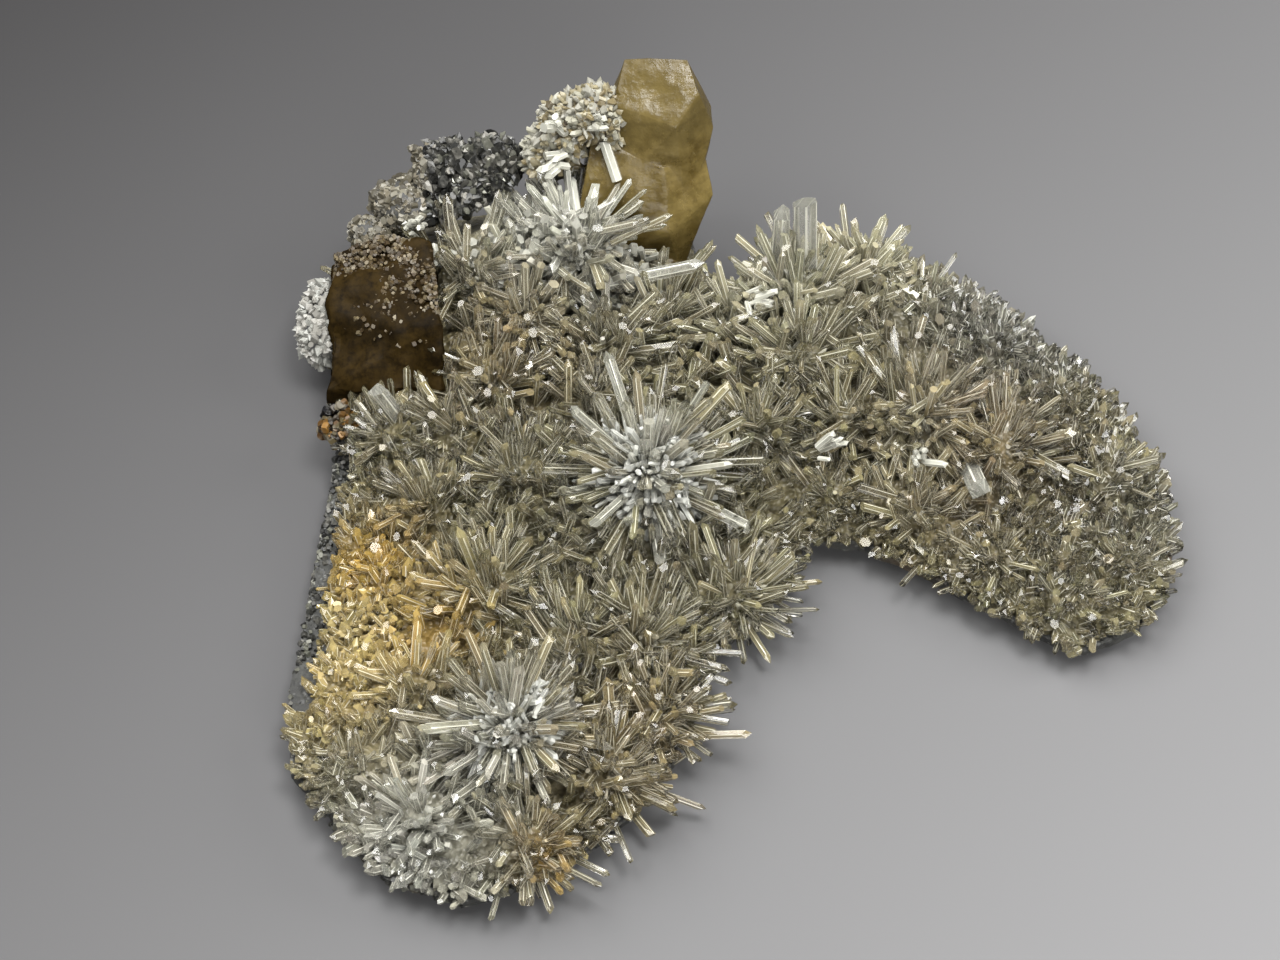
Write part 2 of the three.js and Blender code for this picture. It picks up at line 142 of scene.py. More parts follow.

# Colours of the quartz (linear), and where each shows: place, reach and strength. Most are the quartz's
# own colours; one zone is painted shade and one is partly a painted glint.
OLIVE = (0.245, 0.215, 0.115)
ICE = (0.46, 0.455, 0.39)
SILVER = (0.33, 0.315, 0.22)
BEIGE = (0.31, 0.24, 0.115)
TAN = (0.30, 0.22, 0.105)
AMBER = (0.40, 0.255, 0.055)
STRAW = (0.41, 0.315, 0.125)
CREAM = (0.36, 0.33, 0.215)
BLUE_GREY = (0.20, 0.195, 0.155)
# Painted shade: a dark olive for the needles under the overhang of the terrace.
OVERHANG_SHADE = (0.19, 0.165, 0.095)
HEART = (0.55, 0.555, 0.51)
STAINS_AND_PAINTED_LIGHT = [
    ((-30, 55), 14, ICE, 1.0),
    ((-40, 32), 12, BEIGE, 0.9),
    ((-15, 6), 8, ICE, 0.9),
    ((-62, -7), 9, AMBER, 1.0),
    ((-64, -31), 12, STRAW, 1.0),
    ((-50, -22), 8, AMBER, 0.9),
    ((-37, -44), 7, ICE, 0.9),
    ((-52, -61), 15, ICE, 1.0),
    ((-17, -43), 15, BEIGE, 0.9),
    ((-31, -63), 5, AMBER, 0.8),
    ((24, 58), 12, CREAM, 0.9),
    ((6, 46), 12, SILVER, 0.9),
    ((47, 40), 18, BLUE_GREY, 1.0),
    ((40, 14), 14, TAN, 0.9),
    # Partly pale needles, partly a painted glint round the white crystals here.
    ((31, 14), 7, CREAM, 0.8),
    # Painted shade under the overhang of the terrace.
    ((54, 2), 13, OVERHANG_SHADE, 0.8),
    ((72, 2), 10, BLUE_GREY, 0.5),
]

# Where the needles are milkier, at one place partly as a painted glint: place, reach, added milkiness and
# strength
MILK_AND_GLINT_GROUND = [
    ((4, 42), 15, 0.3, 1.0),
    ((24, 56), 13, 0.35, 1.0),
    ((-30, 55), 14, 0.3, 1.0),
    ((-15, 6), 7, 0.2, 1.0),
    ((-54, -60), 13, 0.15, 1.0),
    # Partly milky needles, partly a painted glint round the white crystals here.
    ((31, 14), 7, 0.25, 1.0),
    ((-63, -20), 16, 0.45, 1.0),
]

# Ground where the crystals stay short: place, reach, and their length there
SHORT_GROUND = [
    ((47, 42), 17, 3.0),
    ((34, 50), 9, 3.2),
    ((64, 22), 11, 3.2),
    ((50, -4), 16, 4.5),
    ((68, -2), 13, 3.2),
    ((58, -17), 9, 3.6),
    ((17, 1), 8, 3.6),
    ((-68, 22), 9, 3.5),
    ((-67, 8), 10, 3.5),
    ((-64, -8), 10, 2.0),
    ((-66, -29), 14, 2.0),
    ((-71, -44), 8, 2.5),
    ((-66, -55), 9, 3.5),
    ((-54, -65), 9, 4.0),
]

rng = np.random.default_rng(SEED)


def scatter(i, j):
    """The part's own repeatable scatter, from 0 to 1."""
    s = math.sin(i * 12.9898 + j * 78.233) * 43758.5453
    return s - math.floor(s)


def placed(point):
    """A point of the drawing, in millimetres, as a point of the frame, in metres."""
    return Vector([(c + s) * MM for c, s in zip(point, SHIFT)])


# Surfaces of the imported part
def surface(node):
    """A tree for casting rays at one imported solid."""
    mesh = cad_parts[node].data
    corners = [v.co.copy() for v in mesh.vertices]
    return BVHTree.FromPolygons(corners, [tuple(p.vertices) for p in mesh.polygons])


ROCK = surface("matrix")
OTHERS = [surface(name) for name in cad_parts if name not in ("matrix", "needle_quartz")]


def rock_top(x, y):
    """Height of the rock over a spot of the drawing, or None beside it."""
    above = placed((x, y, 80))
    hit = ROCK.ray_cast(above, Vector((0, 0, -1)))[0]
    return None if hit is None else hit.z / MM


def covered(x, y):
    """True if a calcite or a druse stands over a spot of the drawing."""
    above = placed((x, y, 80))
    return any(tree.ray_cast(above, Vector((0, 0, -1)))[0] for tree in OTHERS)


RIM_START = np.array(RIM, float)
RIM_ALONG = np.roll(RIM_START, -1, axis=0) - RIM_START


def rim_way(x, y):
    """Distance from a spot inside the rim to the rim, and the direction that leads there."""
    spot = np.array((x, y))
    share = ((spot - RIM_START) * RIM_ALONG).sum(1) / (RIM_ALONG**2).sum(1)
    nearest = RIM_START + np.clip(share, 0, 1)[:, None] * RIM_ALONG
    way = nearest - spot
    far = np.hypot(*way.T)
    k = int(far.argmin())
    return far[k], way[k] / max(far[k], 1e-6)


def blend_zones(x, y, start, zones):
    """A start value drawn towards each zone's own value near its place."""
    value = np.array(start, float)
    for (zx, zy), reach, own, strength in zones:
        share = strength * math.exp(-((x - zx) ** 2 + (y - zy) ** 2) / reach**2)
        value = value + (np.array(own) - value) * share
    return value


def tint_at(x, y):
    return blend_zones(x, y, OLIVE, STAINS_AND_PAINTED_LIGHT)


def length_at(x, y):
    """Usual length of the needles at a spot."""
    zones = [(at, reach, own, 1.0) for at, reach, own in SHORT_GROUND]
    return float(blend_zones(x, y, USUAL_LENGTH, zones))


def bare(x, y):
    """True on the strip of broken rock along the left edge, which no quartz covers."""
    return x < -58 and -34 < y < 24 and rim_way(x, y)[0] < 3.5


# Crystal shapes
class Habit:
    """One crystal shape: its points across and along, its faces, and which of those are edge faces
    painted pale, partly as frost and partly as a painted highlight.

    Along is a share of the length plus radii."""

    def __init__(self, bm, length, frosted_highlit=()):
        bm.verts.index_update()
        points = np.array([v.co for v in bm.verts])
        self.frosted_highlit = [float(f in frosted_highlit) for f in bm.faces]
        self.across = points[:, :2]
        self.share = (points[:, 2] > length / 2).astype(float)
        self.radii = points[:, 2] - self.share * length
        self.faces = [[v.index for v in f.verts] for f in bm.faces]
        bm.free()


def prism(length):
    """An upright six-sided prism as a bmesh, with its upper points and its top face."""
    bm = bmesh.new()
    bmesh.ops.create_circle(bm, cap_ends=True, segments=6, radius=1)
    grown = bmesh.ops.extrude_face_region(bm, geom=bm.faces[:])
    risen = [v for v in grown["geom"] if isinstance(v, bmesh.types.BMVert)]
    bmesh.ops.translate(bm, verts=risen, vec=(0, 0, length))
    bmesh.ops.recalc_face_normals(bm, faces=bm.faces[:])
    top = max(bm.faces, key=lambda f: f.calc_center_median().z)
    return bm, risen, top


def frost_and_highlight_edges(bm, ring):
    """Narrow faces along the long edges of a prism, which the quartz paints pale, partly as frost and
    partly as a painted highlight.
    """
    long_edges = []
    for e in bm.edges:
        rising = sum(v in ring for v in e.verts) == 1
        if rising and min(v.co.z for v in e.verts) < 1:
            long_edges.append(e)
    made = bmesh.ops.bevel(
        bm, geom=long_edges, offset=0.1, affect="EDGES", segments=1, profile=0.5, material=-1
    )
    return set(made["faces"])


def pointed_habit(shoulders, lean, tip):
    """A quartz needle whose point has uneven faces: how far each shoulder drops round the prism,
    and the lean and height of the tip."""
    bm, ring, top = prism(SHAPE_LENGTH)
    for v, drop in zip(sorted(ring, key=lambda v: math.atan2(v.co.y, v.co.x)), shoulders):
        v.co.z -= drop
    peak = bmesh.ops.poke(bm, faces=[top])["verts"][0]
    peak.co = Vector((lean[0], lean[1], SHAPE_LENGTH + tip))
    return Habit(bm, SHAPE_LENGTH, frost_and_highlight_edges(bm, ring))


def broken_habit(slope):
    """A needle that snapped off on a slant."""
    bm, ring, top = prism(SHAPE_LENGTH)
    for v in ring:
        v.co.z += slope * v.co.x - abs(slope)
    return Habit(bm, SHAPE_LENGTH, frost_and_highlight_edges(bm, ring))


def cube_habit():
    """A blocky crystal with blunted corners."""
    bm = bmesh.new()
    bmesh.ops.create_cube(bm, size=1.6)
    bmesh.ops.bevel(
        bm, geom=bm.verts[:], offset=0.35, affect="VERTICES", segments=1, profile=0.5, material=-1
    )
    bmesh.ops.translate(bm, verts=bm.verts[:], vec=(0, 0, -0.2))
    return Habit(bm, 1e6)


NEEDLES = [
    pointed_habit((0.2, 0.8, 0.1, 0.9, 0.3, 0.6), (0.35, 0.1), 0.8),
    pointed_habit((0.0, 0.4, 1.4, 1.6, 0.9, 0.1), (0.55, -0.1), 0.4),
    pointed_habit((0.9, 0.1, 0.8, 0.2, 1.0, 0.0), (-0.1, 0.2), 1.2),
    broken_habit(0.4),
]
CUBES = [cube_habit()]


class Growth:
    """Crystals waiting to be joined into one mesh: foot, direction, length, radius, colour
    and milkiness of each."""

    def __init__(self):
        self.rows = []

    def add(self, foot, way, length, radius, tint, milk=0.0):
        self.rows.append((*foot, *way, length, radius, *tint, milk))

    def mesh(self, name, habits, chances):
        """All the crystals as one mesh in the frame, with a tint and an along value on every point
        and an edge value on every face."""
        rows = np.array(self.rows)
        kinds = rng.choice(len(habits), size=len(rows), p=chances)
        points, tints, alongs, edges, loops, starts = [], [], [], [], [], []
        count = corner = 0
        for kind, habit in enumerate(habits):
            own = rows[kinds == kind]
            if not len(own):
                continue
            foot, way = own[:, 0:3] + SHIFT, own[:, 3:6]
            way = way / np.linalg.norm(way, axis=1, keepdims=True)
            side = np.cross(way, np.where(np.abs(way[:, 2:]) < 0.9, (0.0, 0.0, 1.0), (1.0, 0.0, 0.0)))
            side /= np.linalg.norm(side, axis=1, keepdims=True)
            other = np.cross(way, side)
            turn = rng.uniform(0, 2 * math.pi, len(own))[:, None]
            cos, sin = np.cos(turn), np.sin(turn)
            side, other = side * cos + other * sin, other * cos - side * sin
            length, radius = own[:, 6, None], own[:, 7, None]
            flat = rng.uniform(0.7, 1.0, len(own))[:, None]
            a = habit.across[None, :, 0] * radius
            b = habit.across[None, :, 1] * radius * flat
            c = habit.share[None, :] * length + habit.radii[None, :] * radius
            spots = foot[:, None] + a[..., None] * side[:, None]
            spots = spots + b[..., None] * other[:, None] + c[..., None] * way[:, None]
            points.append(spots.reshape(-1, 3))
            each = len(habit.share)
            tints.append(np.repeat(own[:, 8:12], each, axis=0))
            alongs.append((c / length).reshape(-1))
            edges.extend(habit.frosted_highlit * len(own))
            for k in range(len(own)):
                for face in habit.faces:
                    starts.append(corner)
                    loops.extend(count + k * each + i for i in face)
                    corner += len(face)
            count += len(own) * each
        mesh = bpy.data.meshes.new(name)
        mesh.vertices.add(count)
        mesh.vertices.foreach_set("co", (np.concatenate(points) * MM).ravel())
        mesh.loops.add(corner)
        mesh.loops.foreach_set("vertex_index", loops)
        mesh.polygons.add(len(starts))
        mesh.polygons.foreach_set("loop_start", starts)
        mesh.update(calc_edges=True)
        mesh.shade_flat()
        tint = mesh.attributes.new("tint", "FLOAT_COLOR", "POINT")
        tint.data.foreach_set("color", np.concatenate(tints).ravel())
        along = mesh.attributes.new("along", "FLOAT", "POINT")
        along.data.foreach_set("value", np.concatenate(alongs))
        edge = mesh.attributes.new("edge", "FLOAT", "FACE")
        edge.data.foreach_set("value", edges)
        return mesh


def piece(mesh, material, slot, *nodes):
    """A finished piece: an object at the origin that rides with the specimen
    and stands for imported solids."""
    obj = bpy.data.objects.new(mesh.name, mesh)
    bpy.context.scene.collection.objects.link(obj)
    mesh.materials.append(material)
    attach(obj, "root")
    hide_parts(*nodes)


# Shader maths
class Socket:
    """A node socket that takes part in Python expressions."""

    def __init__(self, tree, socket):
        self.tree = tree
        self.socket = socket

    def math(self, operation, *values, clamp=False):
        return self.tree.node("ShaderNodeMath", {"operation": operation, "use_clamp": clamp}, values)

    def __add__(self, other):
        return self.math("ADD", self, other)

    def __sub__(self, other):
        return self.math("SUBTRACT", self, other)

    def __rsub__(self, other):
        return self.math("SUBTRACT", other, self)

    def __mul__(self, other):
        return self.math("MULTIPLY", self, other)

    def __pow__(self, other):
        return self.math("POWER", self, other)

    __radd__ = __add__
    __rmul__ = __mul__

    def between(self, low, high):
        """0 below low, 1 above high, and a straight ramp from one to the other."""
        ends = {"Value": self, "From Min": low, "From Max": high}
        return self.tree.node("ShaderNodeMapRange", {"clamp": True}, ends)


class Finish:
    """A material under construction: its node tree with short ways to add nodes."""

    def __init__(self, name):
        self.material = bpy.data.materials.new(name)
        self.material.use_nodes = True
        self.nodes = self.material.node_tree.nodes
        self.links = self.material.node_tree.links
        self.nodes.clear()

    def node(self, kind, settings=None, inputs=(), output=0):
        made = self.nodes.new(kind)
        for key, value in (settings or {}).items():
            setattr(made, key, value)
        pairs = inputs.items() if isinstance(inputs, dict) else enumerate(inputs)
        for key, value in pairs:
            if isinstance(value, Socket):
                self.links.new(value.socket, made.inputs[key])
            else:
                made.inputs[key].default_value = value
        return Socket(self, made.outputs[output])

    def place(self):
        return self.node("ShaderNodeTexCoord", output="Object")

    def own(self, name, output="Color"):
        return self.node("ShaderNodeAttribute", {"attribute_name": name}, output=output)

    def noise(self, scale, detail=3.0, rough=0.55):
        return self.node(
            "ShaderNodeTexNoise",
            inputs={"Vector": self.place(), "Scale": scale, "Detail": detail, "Roughness": rough},
        )

    def cells(self, scale):
        inputs = {"Vector": self.place(), "Scale": scale}
        return self.node("ShaderNodeTexVoronoi", inputs=inputs, output="Distance")

    def mix(self, share, a, b, blend="MIX"):
        settings = {"data_type": "RGBA", "blend_type": blend}
        return self.node("ShaderNodeMix", settings, {0: share, 6: a, 7: b}, output=2)

    def bump(self, height, strength, distance):
        inputs = {"Height": height, "Strength": strength, "Distance": distance}
        return self.node("ShaderNodeBump", inputs=inputs)

    def principled(self, inputs):
        return self.node("ShaderNodeBsdfPrincipled", inputs=inputs)

    def blend(self, share, a, b):
        return self.node("ShaderNodeMixShader", inputs={0: share, 1: a, 2: b})

    def done(self, shader, volume=None):
        out = self.nodes.new("ShaderNodeOutputMaterial")
        self.links.new(shader.socket, out.inputs["Surface"])
        if volume:
            self.links.new(volume.socket, out.inputs["Volume"])
        return self.material


def rgba(colour, gain=1.0):
    return (*[c * gain for c in colour], 1.0)


# Materials
def needle_finish():
    """Quartz from clear to milky: each crystal has its own colour and milkiness, a milky foot
    and pale edges, partly frost and partly a painted highlight of the bright lines along them."""
    f = Finish("quartz")
    foot = f.own("along", "Fac").between(0.7, 0.0)
    edge = f.own("edge", "Fac")
    veil = f.noise(900.0, 2.0).between(0.45, 0.8)
    tint = f.own("tint")
    clear = f.principled(
        {
            "Base Color": f.mix(0.82, tint, rgba((1.0, 1.0, 1.0))),
            "Roughness": veil * 0.06 + 0.02,
            "IOR": QUARTZ_IOR,
            "Transmission Weight": 1.0,
        }
    )
    # Pale edges: partly frost, partly a painted highlight of the bright lines along the crystals' edges.
    pale = f.mix(edge * 0.6, tint, rgba((0.62, 0.61, 0.53)))
    milky = f.principled({"Base Color": pale, "Roughness": 0.06, "IOR": QUARTZ_IOR})
    milk = f.own("tint", "Alpha") + foot * 0.25 + veil * 0.15 + edge * 0.5
    return f.done(f.blend(milk, clear, milky))


def ground_finish():
    """The matted quartz between the needles: sugary, with the colour of the place and dark patches
    painted as shade in the hollows.
    """
    f = Finish("quartz_ground")
    grain = f.cells(900.0)
    # Dark patches painted as shade in the hollows between the needles.
    hollow_shade = f.noise(260.0, 4.0).between(0.65, 0.35)
    colour = f.mix(hollow_shade * 0.45, f.own("tint"), rgba((0.04, 0.037, 0.029)))
    shader = f.principled(
        {
            "Base Color": f.mix(1.0, colour, rgba((0.5, 0.49, 0.45)), "MULTIPLY"),
            "Roughness": 0.45,
            "IOR": QUARTZ_IOR,
            "Normal": f.bump(grain, 0.8, 0.0012),
        }
    )
    return f.done(shader)


def rock_finish():
    """Broken grey rock with pale grains, rusty patches and a fine sparkle."""
    f = Finish("rock")
    patches = f.noise(90.0, 5.0).between(0.35, 0.65)
    grains = f.noise(1400.0, 2.0)
    speck = f.cells(800.0).between(0.18, 0.3)
    rust = f.noise(45.0, 3.0).between(0.58, 0.72)
    colour = f.mix(patches, rgba((0.012, 0.012, 0.011)), rgba((0.05, 0.05, 0.043)))
    colour = f.mix(grains.between(0.4, 0.65) * 0.5, colour, rgba((0.012, 0.012, 0.012)))
    colour = f.mix(rust * 0.5, colour, rgba((0.09, 0.054, 0.02)))
    colour = f.mix((1 - speck) * 0.25, colour, rgba((0.18, 0.18, 0.165)))
    shader = f.principled(
        {
            "Base Color": colour,
            "Roughness": 0.75 - (1 - speck) * 0.45,
            "Normal": f.bump(f.noise(420.0, 6.0), 0.9, 0.0015),
        }
    )
    return f.done(shader)


def calcite_finish(name, pale, deep, gloss, shine, transmission, density, shaded_top, shaded_foot, mottling):
    """Cloudy calcite with level cleavage seams: pale and deep zones of one colour, dark flecks,
    and a top and a foot darkened as painted shade between heights in metres."""
    f = Finish(name)
    height = f.node("ShaderNodeSeparateXYZ", inputs=[f.place()], output="Z")
    clouds = f.noise(110.0, 6.0, 0.65).between(0.38, 0.62)
    shadows = f.noise(45.0, 3.0).between(0.52, 0.68)
    milk = f.noise(90.0, 6.0, 0.65).between(0.5, 0.72)
    flecks = f.noise(600.0, 6.0, 0.7).between(0.45, 0.65)
    level = f.node("ShaderNodeMapping", inputs={"Vector": f.place(), "Scale": (25.0, 25.0, 320.0)})
    seams = f.node("ShaderNodeTexNoise", inputs={"Vector": level, "Scale": 1.0, "Detail": 4.0})
    colour = f.mix(clouds, rgba(deep), rgba(pale))
    colour = f.mix(shadows * 0.55, colour, rgba(deep, 0.5))
    colour = f.mix(milk * 0.5, colour, rgba(pale, 1.5))
    # The top darkened as painted shade, against the light that falls on it.
    colour = f.mix(height.between(*shaded_top) * 0.6, colour, rgba(pale, 0.5))
    colour = f.mix(seams.between(0.55, 0.7) * 0.5, colour, rgba(deep, 0.5))
    colour = f.mix(flecks * mottling, colour, rgba(deep, 0.3))
    # The foot darkened as painted shade where it meets the crust.
    colour = f.mix(height.between(*shaded_foot) * 0.7, colour, rgba(deep, 0.4))
    shader = f.principled(
        {
            "Base Color": colour,
            "Roughness": milk * 0.3 + gloss,
            "IOR": CALCITE_IOR,
            "Specular IOR Level": shine,
            "Transmission Weight": transmission,
            "Normal": f.bump(f.noise(300.0, 5.0) + seams * 0.7, 0.3, 0.0008),
        }
    )
    volume = f.node("ShaderNodeVolumeAbsorption", inputs={"Color": rgba(pale), "Density": density})
    return f.done(shader, volume)


def grain_finish(name, metallic, rough, transmission):
    """Small crystals of a druse, each with its own colour."""
    f = Finish(name)
    dust = f.noise(700.0, 3.0).between(0.5, 0.75)
    shader = f.principled(
        {
            "Base Color": f.mix(dust * 0.35, f.own("tint"), rgba((0.24, 0.23, 0.20))),
            "Roughness": dust * 0.3 + rough,
            "Metallic": metallic,
            "IOR": QUARTZ_IOR,
            "Specular IOR Level": 0.3,
            "Transmission Weight": transmission,
        }
    )
    return f.done(shader)


def core_finish(name, colour):
    """The mass that a druse's crystals stand on."""
    f = Finish(name)
    patches = f.noise(300.0, 4.0).between(0.35, 0.65)
    shade = f.mix(patches, rgba(colour, 0.4), rgba(colour))
    return f.done(f.principled({"Base Color": shade, "Roughness": 0.6}))


def floor_finish():
    """A plain pale sweep, darker towards the back on the left as a painted fall-off of the light."""
    f = Finish("floor")
    across = {"operation": "DOT_PRODUCT"}
    # Painted fall-off of the light, darker towards the back on the left.
    side = f.node("ShaderNodeVectorMath", across, [f.place(), (1.0, -1.0, 0.0)], "Value")
    share = side.between(-0.3, 0.2) ** 1.3
    colour = f.mix(share, rgba((0.019, 0.0184, 0.0187)), rgba((0.140, 0.139, 0.140)))
    return f.done(f.principled({"Base Color": colour, "Roughness": 0.8, "Specular IOR Level": 0.1}))


# Quartz
def jitter(size):
    return rng.normal(0, size, 3)


def upright_turn(lean):
    axis = Vector((*lean, 1)).normalized()
    return Vector((0, 1, 0)).rotation_difference(axis)


def fan(count, spread, lean, turn):
    """Directions spread evenly round a leaning axis, out to a half-angle in degrees:
    the part's own fan."""
    upright = upright_turn(lean)
    ways = []
    for k in range(count):
        polar = math.radians(spread) * math.sqrt((k + 0.4) / count)
        theta = k * GOLDEN_ANGLE + turn
        out = math.sin(polar)
        way = Vector((out * math.sin(theta), math.cos(polar), out * math.cos(theta)))
        ways.append(upright @ way)
    return ways


def milkiness(x, y):
    """Most needles are clear, some are cloudy and a few are milky, with more milk in places."""
    place = float(blend_zones(x, y, 0.0, MILK_AND_GLINT_GROUND))
    return rng.choice((0.0, 0.12, 0.4), p=(0.5, 0.35, 0.15)) + rng.uniform(0, 0.1) + place


def needle_tint(x, y):
    """The colour of the place, a little lighter or darker from needle to needle."""
    return np.clip(tint_at(x, y) * rng.uniform(0.88, 1.06) + rng.normal(0, 0.004, 3), 0.02, 0.98)


def clear_of_others(foot, way, length):
    """True if a needle stays above the rock that it passes over and out of the calcites and druses."""
    tip = Vector(foot) + Vector(way) * length
    under = rock_top(tip.x, tip.y)
    if tip.z < (2.0 if under is None else under + 1.5):
        return False
    for share in (0.3, 0.6, 0.9):
        spot = placed(Vector(foot) + Vector(way) * (share * length))
        for tree in OTHERS:
            nearest, normal, _, _ = tree.find_nearest(spot, 5 * MM)
            if nearest and (spot - nearest).dot(normal) < 0:
                return False
    return True


def great(fill):
    """True for the two sprays that stand out as full stars."""
    return fill > GREAT_FILL


def spray_root(x, y, fill):
    return Vector((x, y, rock_top(x, y) + (4.0 if great(fill) else 0.3)))


def grow_sprays():
    """The leading needles of every spray, as in the solids, and the finer ones that fill it."""
    growth = Growth()
    for number, ((x, y), reach, leaders, spread, lean, fill) in enumerate(SPRAYS):
        root = spray_root(x, y, fill)
        for k, way in enumerate(fan(leaders, spread, lean, number)):
            start = 0.25 * reach
            length = reach * (0.85 + 0.25 * scatter(k, number)) - start
            radius = LEADER_WIDTH * reach * (0.8 + 0.5 * scatter(number, k))
            growth.add(root + way * start, way, length, radius, needle_tint(x, y), milkiness(x, y))
        tangle = 1.0 if great(fill) else 2.0
        tilt = np.array(lean) * (1.7 if great(fill) else 1.0)
        for way in fan(int(fill * (22 + 4 * reach)), spread + 14, tilt, number + 0.5):
            way = (way + Vector(jitter(0.1 * tangle))).normalized()
            foot = root + way * (0.15 * reach) + Vector(jitter(0.06 * tangle * reach))
            length = reach * rng.uniform(0.45, 0.9)
            radius = (0.4 + 0.024 * reach) * rng.uniform(0.7, 1.3)
            if clear_of_others(foot, way, length):
                end = foot + way * length
                growth.add(foot, way, length, radius, needle_tint(end.x, end.y), milkiness(end.x, end.y))
    for foot, tip, radius in STOUT_CRYSTALS:
        way = Vector(tip) - Vector(foot)
        growth.add(foot, way, way.length, radius, ICE, 0.2)
    return growth


def spots_on_rock(spacing):
    """Spots all over the rock, about a spacing apart."""
    low, high = RIM_START.min(0), RIM_START.max(0)
    for x in np.arange(low[0], high[0], spacing):
        for y in np.arange(low[1], high[1], spacing):
            px, py = x + rng.uniform(-0.5, 0.5) * spacing, y + rng.uniform(-0.5, 0.5) * spacing
            z = rock_top(px, py)
            if z is not None and not bare(px, py) and not covered(px, py):
                yield px, py, z


def spray_near(x, y):
    """The nearest spray's direction and how far off it is, in its own reach."""
    best = min(SPRAYS, key=lambda s: math.hypot(x - s[0][0], y - s[0][1]) / s[1])
    away = np.array((x - best[0][0], y - best[0][1]))
    far = np.hypot(*away)
    return away / max(far, 1e-6), far / best[1]


def crust_height(x, y, z):
    """Height of the matted crust over rock at a height: lumpy, mounded at each spray
    and thin at the rim."""
    edge, out = rim_way(x, y)
    away, far = spray_near(x, y)
    lumps = 1.2 * noise.noise((x * 0.35, y * 0.35, 0)) + 0.7 * noise.noise((x * 0.9, y * 0.9, 5))
    mound = 3.2 * max(0.0, 1 - far**2 / 0.3)
    return z + 1.0 + min(1.0, edge / 4) * (1.2 + lumps + mound)


def grow_mat():
    """The needles that fill the ground between the sprays, leaning away from the nearest one
    and over the rim."""
    growth = Growth()
    for x, y, z in spots_on_rock(MAT_SPACING):
        away, far = spray_near(x, y)
        edge, out = rim_way(x, y)
        length = length_at(x, y) * rng.uniform(0.65, 1.15) * (0.6 + 0.4 * min(1.0, edge / 8))
        spill = 0.8 * math.exp(-edge / 4.0)
        way = Vector((*(away * 0.45 + out * spill), 0.9)) + Vector(jitter(0.38))
        way.z = max(way.z, 0.15)
        foot = Vector((x, y, crust_height(x, y, z) - 1.5))
        radius = 0.25 + length * rng.uniform(0.045, 0.08)
        if clear_of_others(foot, way.normalized(), length):
            growth.add(foot, way, length, radius, needle_tint(x, y), milkiness(x, y))
    return growth


def grow_sugar():
    """Short crystals that cover the short ground and the edge of the crust."""
    growth = Growth()
    for x, y, z in spots_on_rock(SUGAR_SPACING):
        short = length_at(x, y)
        edge, out = rim_way(x, y)
        if short > 6.0 and edge > 4.0:
            continue
        way = Vector((*(out * 1.1 * math.exp(-edge / 2.5)), 0.8)) + Vector(jitter(0.4))
        way.z = max(way.z, 0.05)
        length = 0.5 + min(short, 3.4) * rng.uniform(0.35, 0.8)
        foot = (x, y, crust_height(x, y, z) - 0.4)
        growth.add(foot, way, length, rng.uniform(0.55, 1.05), needle_tint(x, y), milkiness(x, y))
    return growth


def heart_share(x, y):
    """1 at the middle of a great spray's heart, falling to 0 at its edge."""
    best = 0.0
    for at, reach, leaders, spread, lean, fill in SPRAYS:
        middle = np.array(at) + np.array(lean) * (0.33 * reach)
        far = math.hypot(x - middle[0], y - middle[1]) / (0.4 * reach)
        if great(fill):
            best = max(best, 1 - far**2)
    return best


def ground_mesh():
    """The crust under the needles: a fine grid laid over the rock, milky and mounded at the great hearts,
    and turned down at the rim."""
    bm = bmesh.new()
    bmesh.ops.create_grid(bm, x_segments=110, y_segments=106, size=0.5)
    low, high = RIM_START.min(0) - 1, RIM_START.max(0) + 1
    tint = bm.verts.layers.float_color.new("tint")
    beside = []
    for v in bm.verts:
        x, y = (low + high) / 2 + (high - low) * (v.co.x, v.co.y)
        z = rock_top(x, y)
        if z is None or bare(x, y):
            beside.append(v)
            continue
        heart = heart_share(x, y)
        v.co = placed((x, y, crust_height(x, y, z) + 4.0 * heart))
        v[tint] = (*(tint_at(x, y) * (1 - heart) + np.array(HEART) * heart), 1.0)
    bmesh.ops.delete(bm, geom=beside, context="VERTS")
    rim = [e for e in bm.edges if e.is_boundary]
    skirt = bmesh.ops.extrude_edge_only(bm, edges=rim)["geom"]
    for v in skirt:
        if isinstance(v, bmesh.types.BMVert):
            v.co.z -= 2.5 * MM
    bmesh.ops.recalc_face_normals(bm, faces=bm.faces[:])
    mesh = bpy.data.meshes.new("quartz_ground")
    bm.to_mesh(mesh)
    bm.free()
    return mesh


def grow_hearts():
    """Milky domes of fine crystals at the heart of every spray, with a bristle of longer ones."""
    growth = Growth()
    for number, ((x, y), reach, leaders, spread, lean, fill) in enumerate(SPRAYS):
        root = spray_root(x, y, fill)
        size = 1.35 if great(fill) else 1.0
        white = 0.9 if great(fill) else 0.4
        place = tint_at(x, y)
        icy = place * (1 - white) + np.array(HEART) * white
        for way in fan(int(fill * (0.9 if great(fill) else 0.55) * reach**2), 76, lean, number + 2):
            dome = rng.random() < 0.72
            tint = icy if dome else (icy + place) / 2
            start = 0.28 * reach * size if dome else 0.0
            foot = root + way * start + Vector(jitter(0.05 * reach))
            way = (way + Vector(jitter(0.4 if dome else 0.2))).normalized()
            length = reach * (rng.uniform(0.1, 0.26) if dome else rng.uniform(0.35, 0.6))
            radius = 0.12 * math.sqrt(reach) * rng.uniform(0.6, 1.3)
            if clear_of_others(foot, way, length):
                shade = tint * rng.uniform(0.85, 1.05)
                growth.add(foot, way, length, radius, shade, rng.uniform(0.3, 0.8))
    return growth


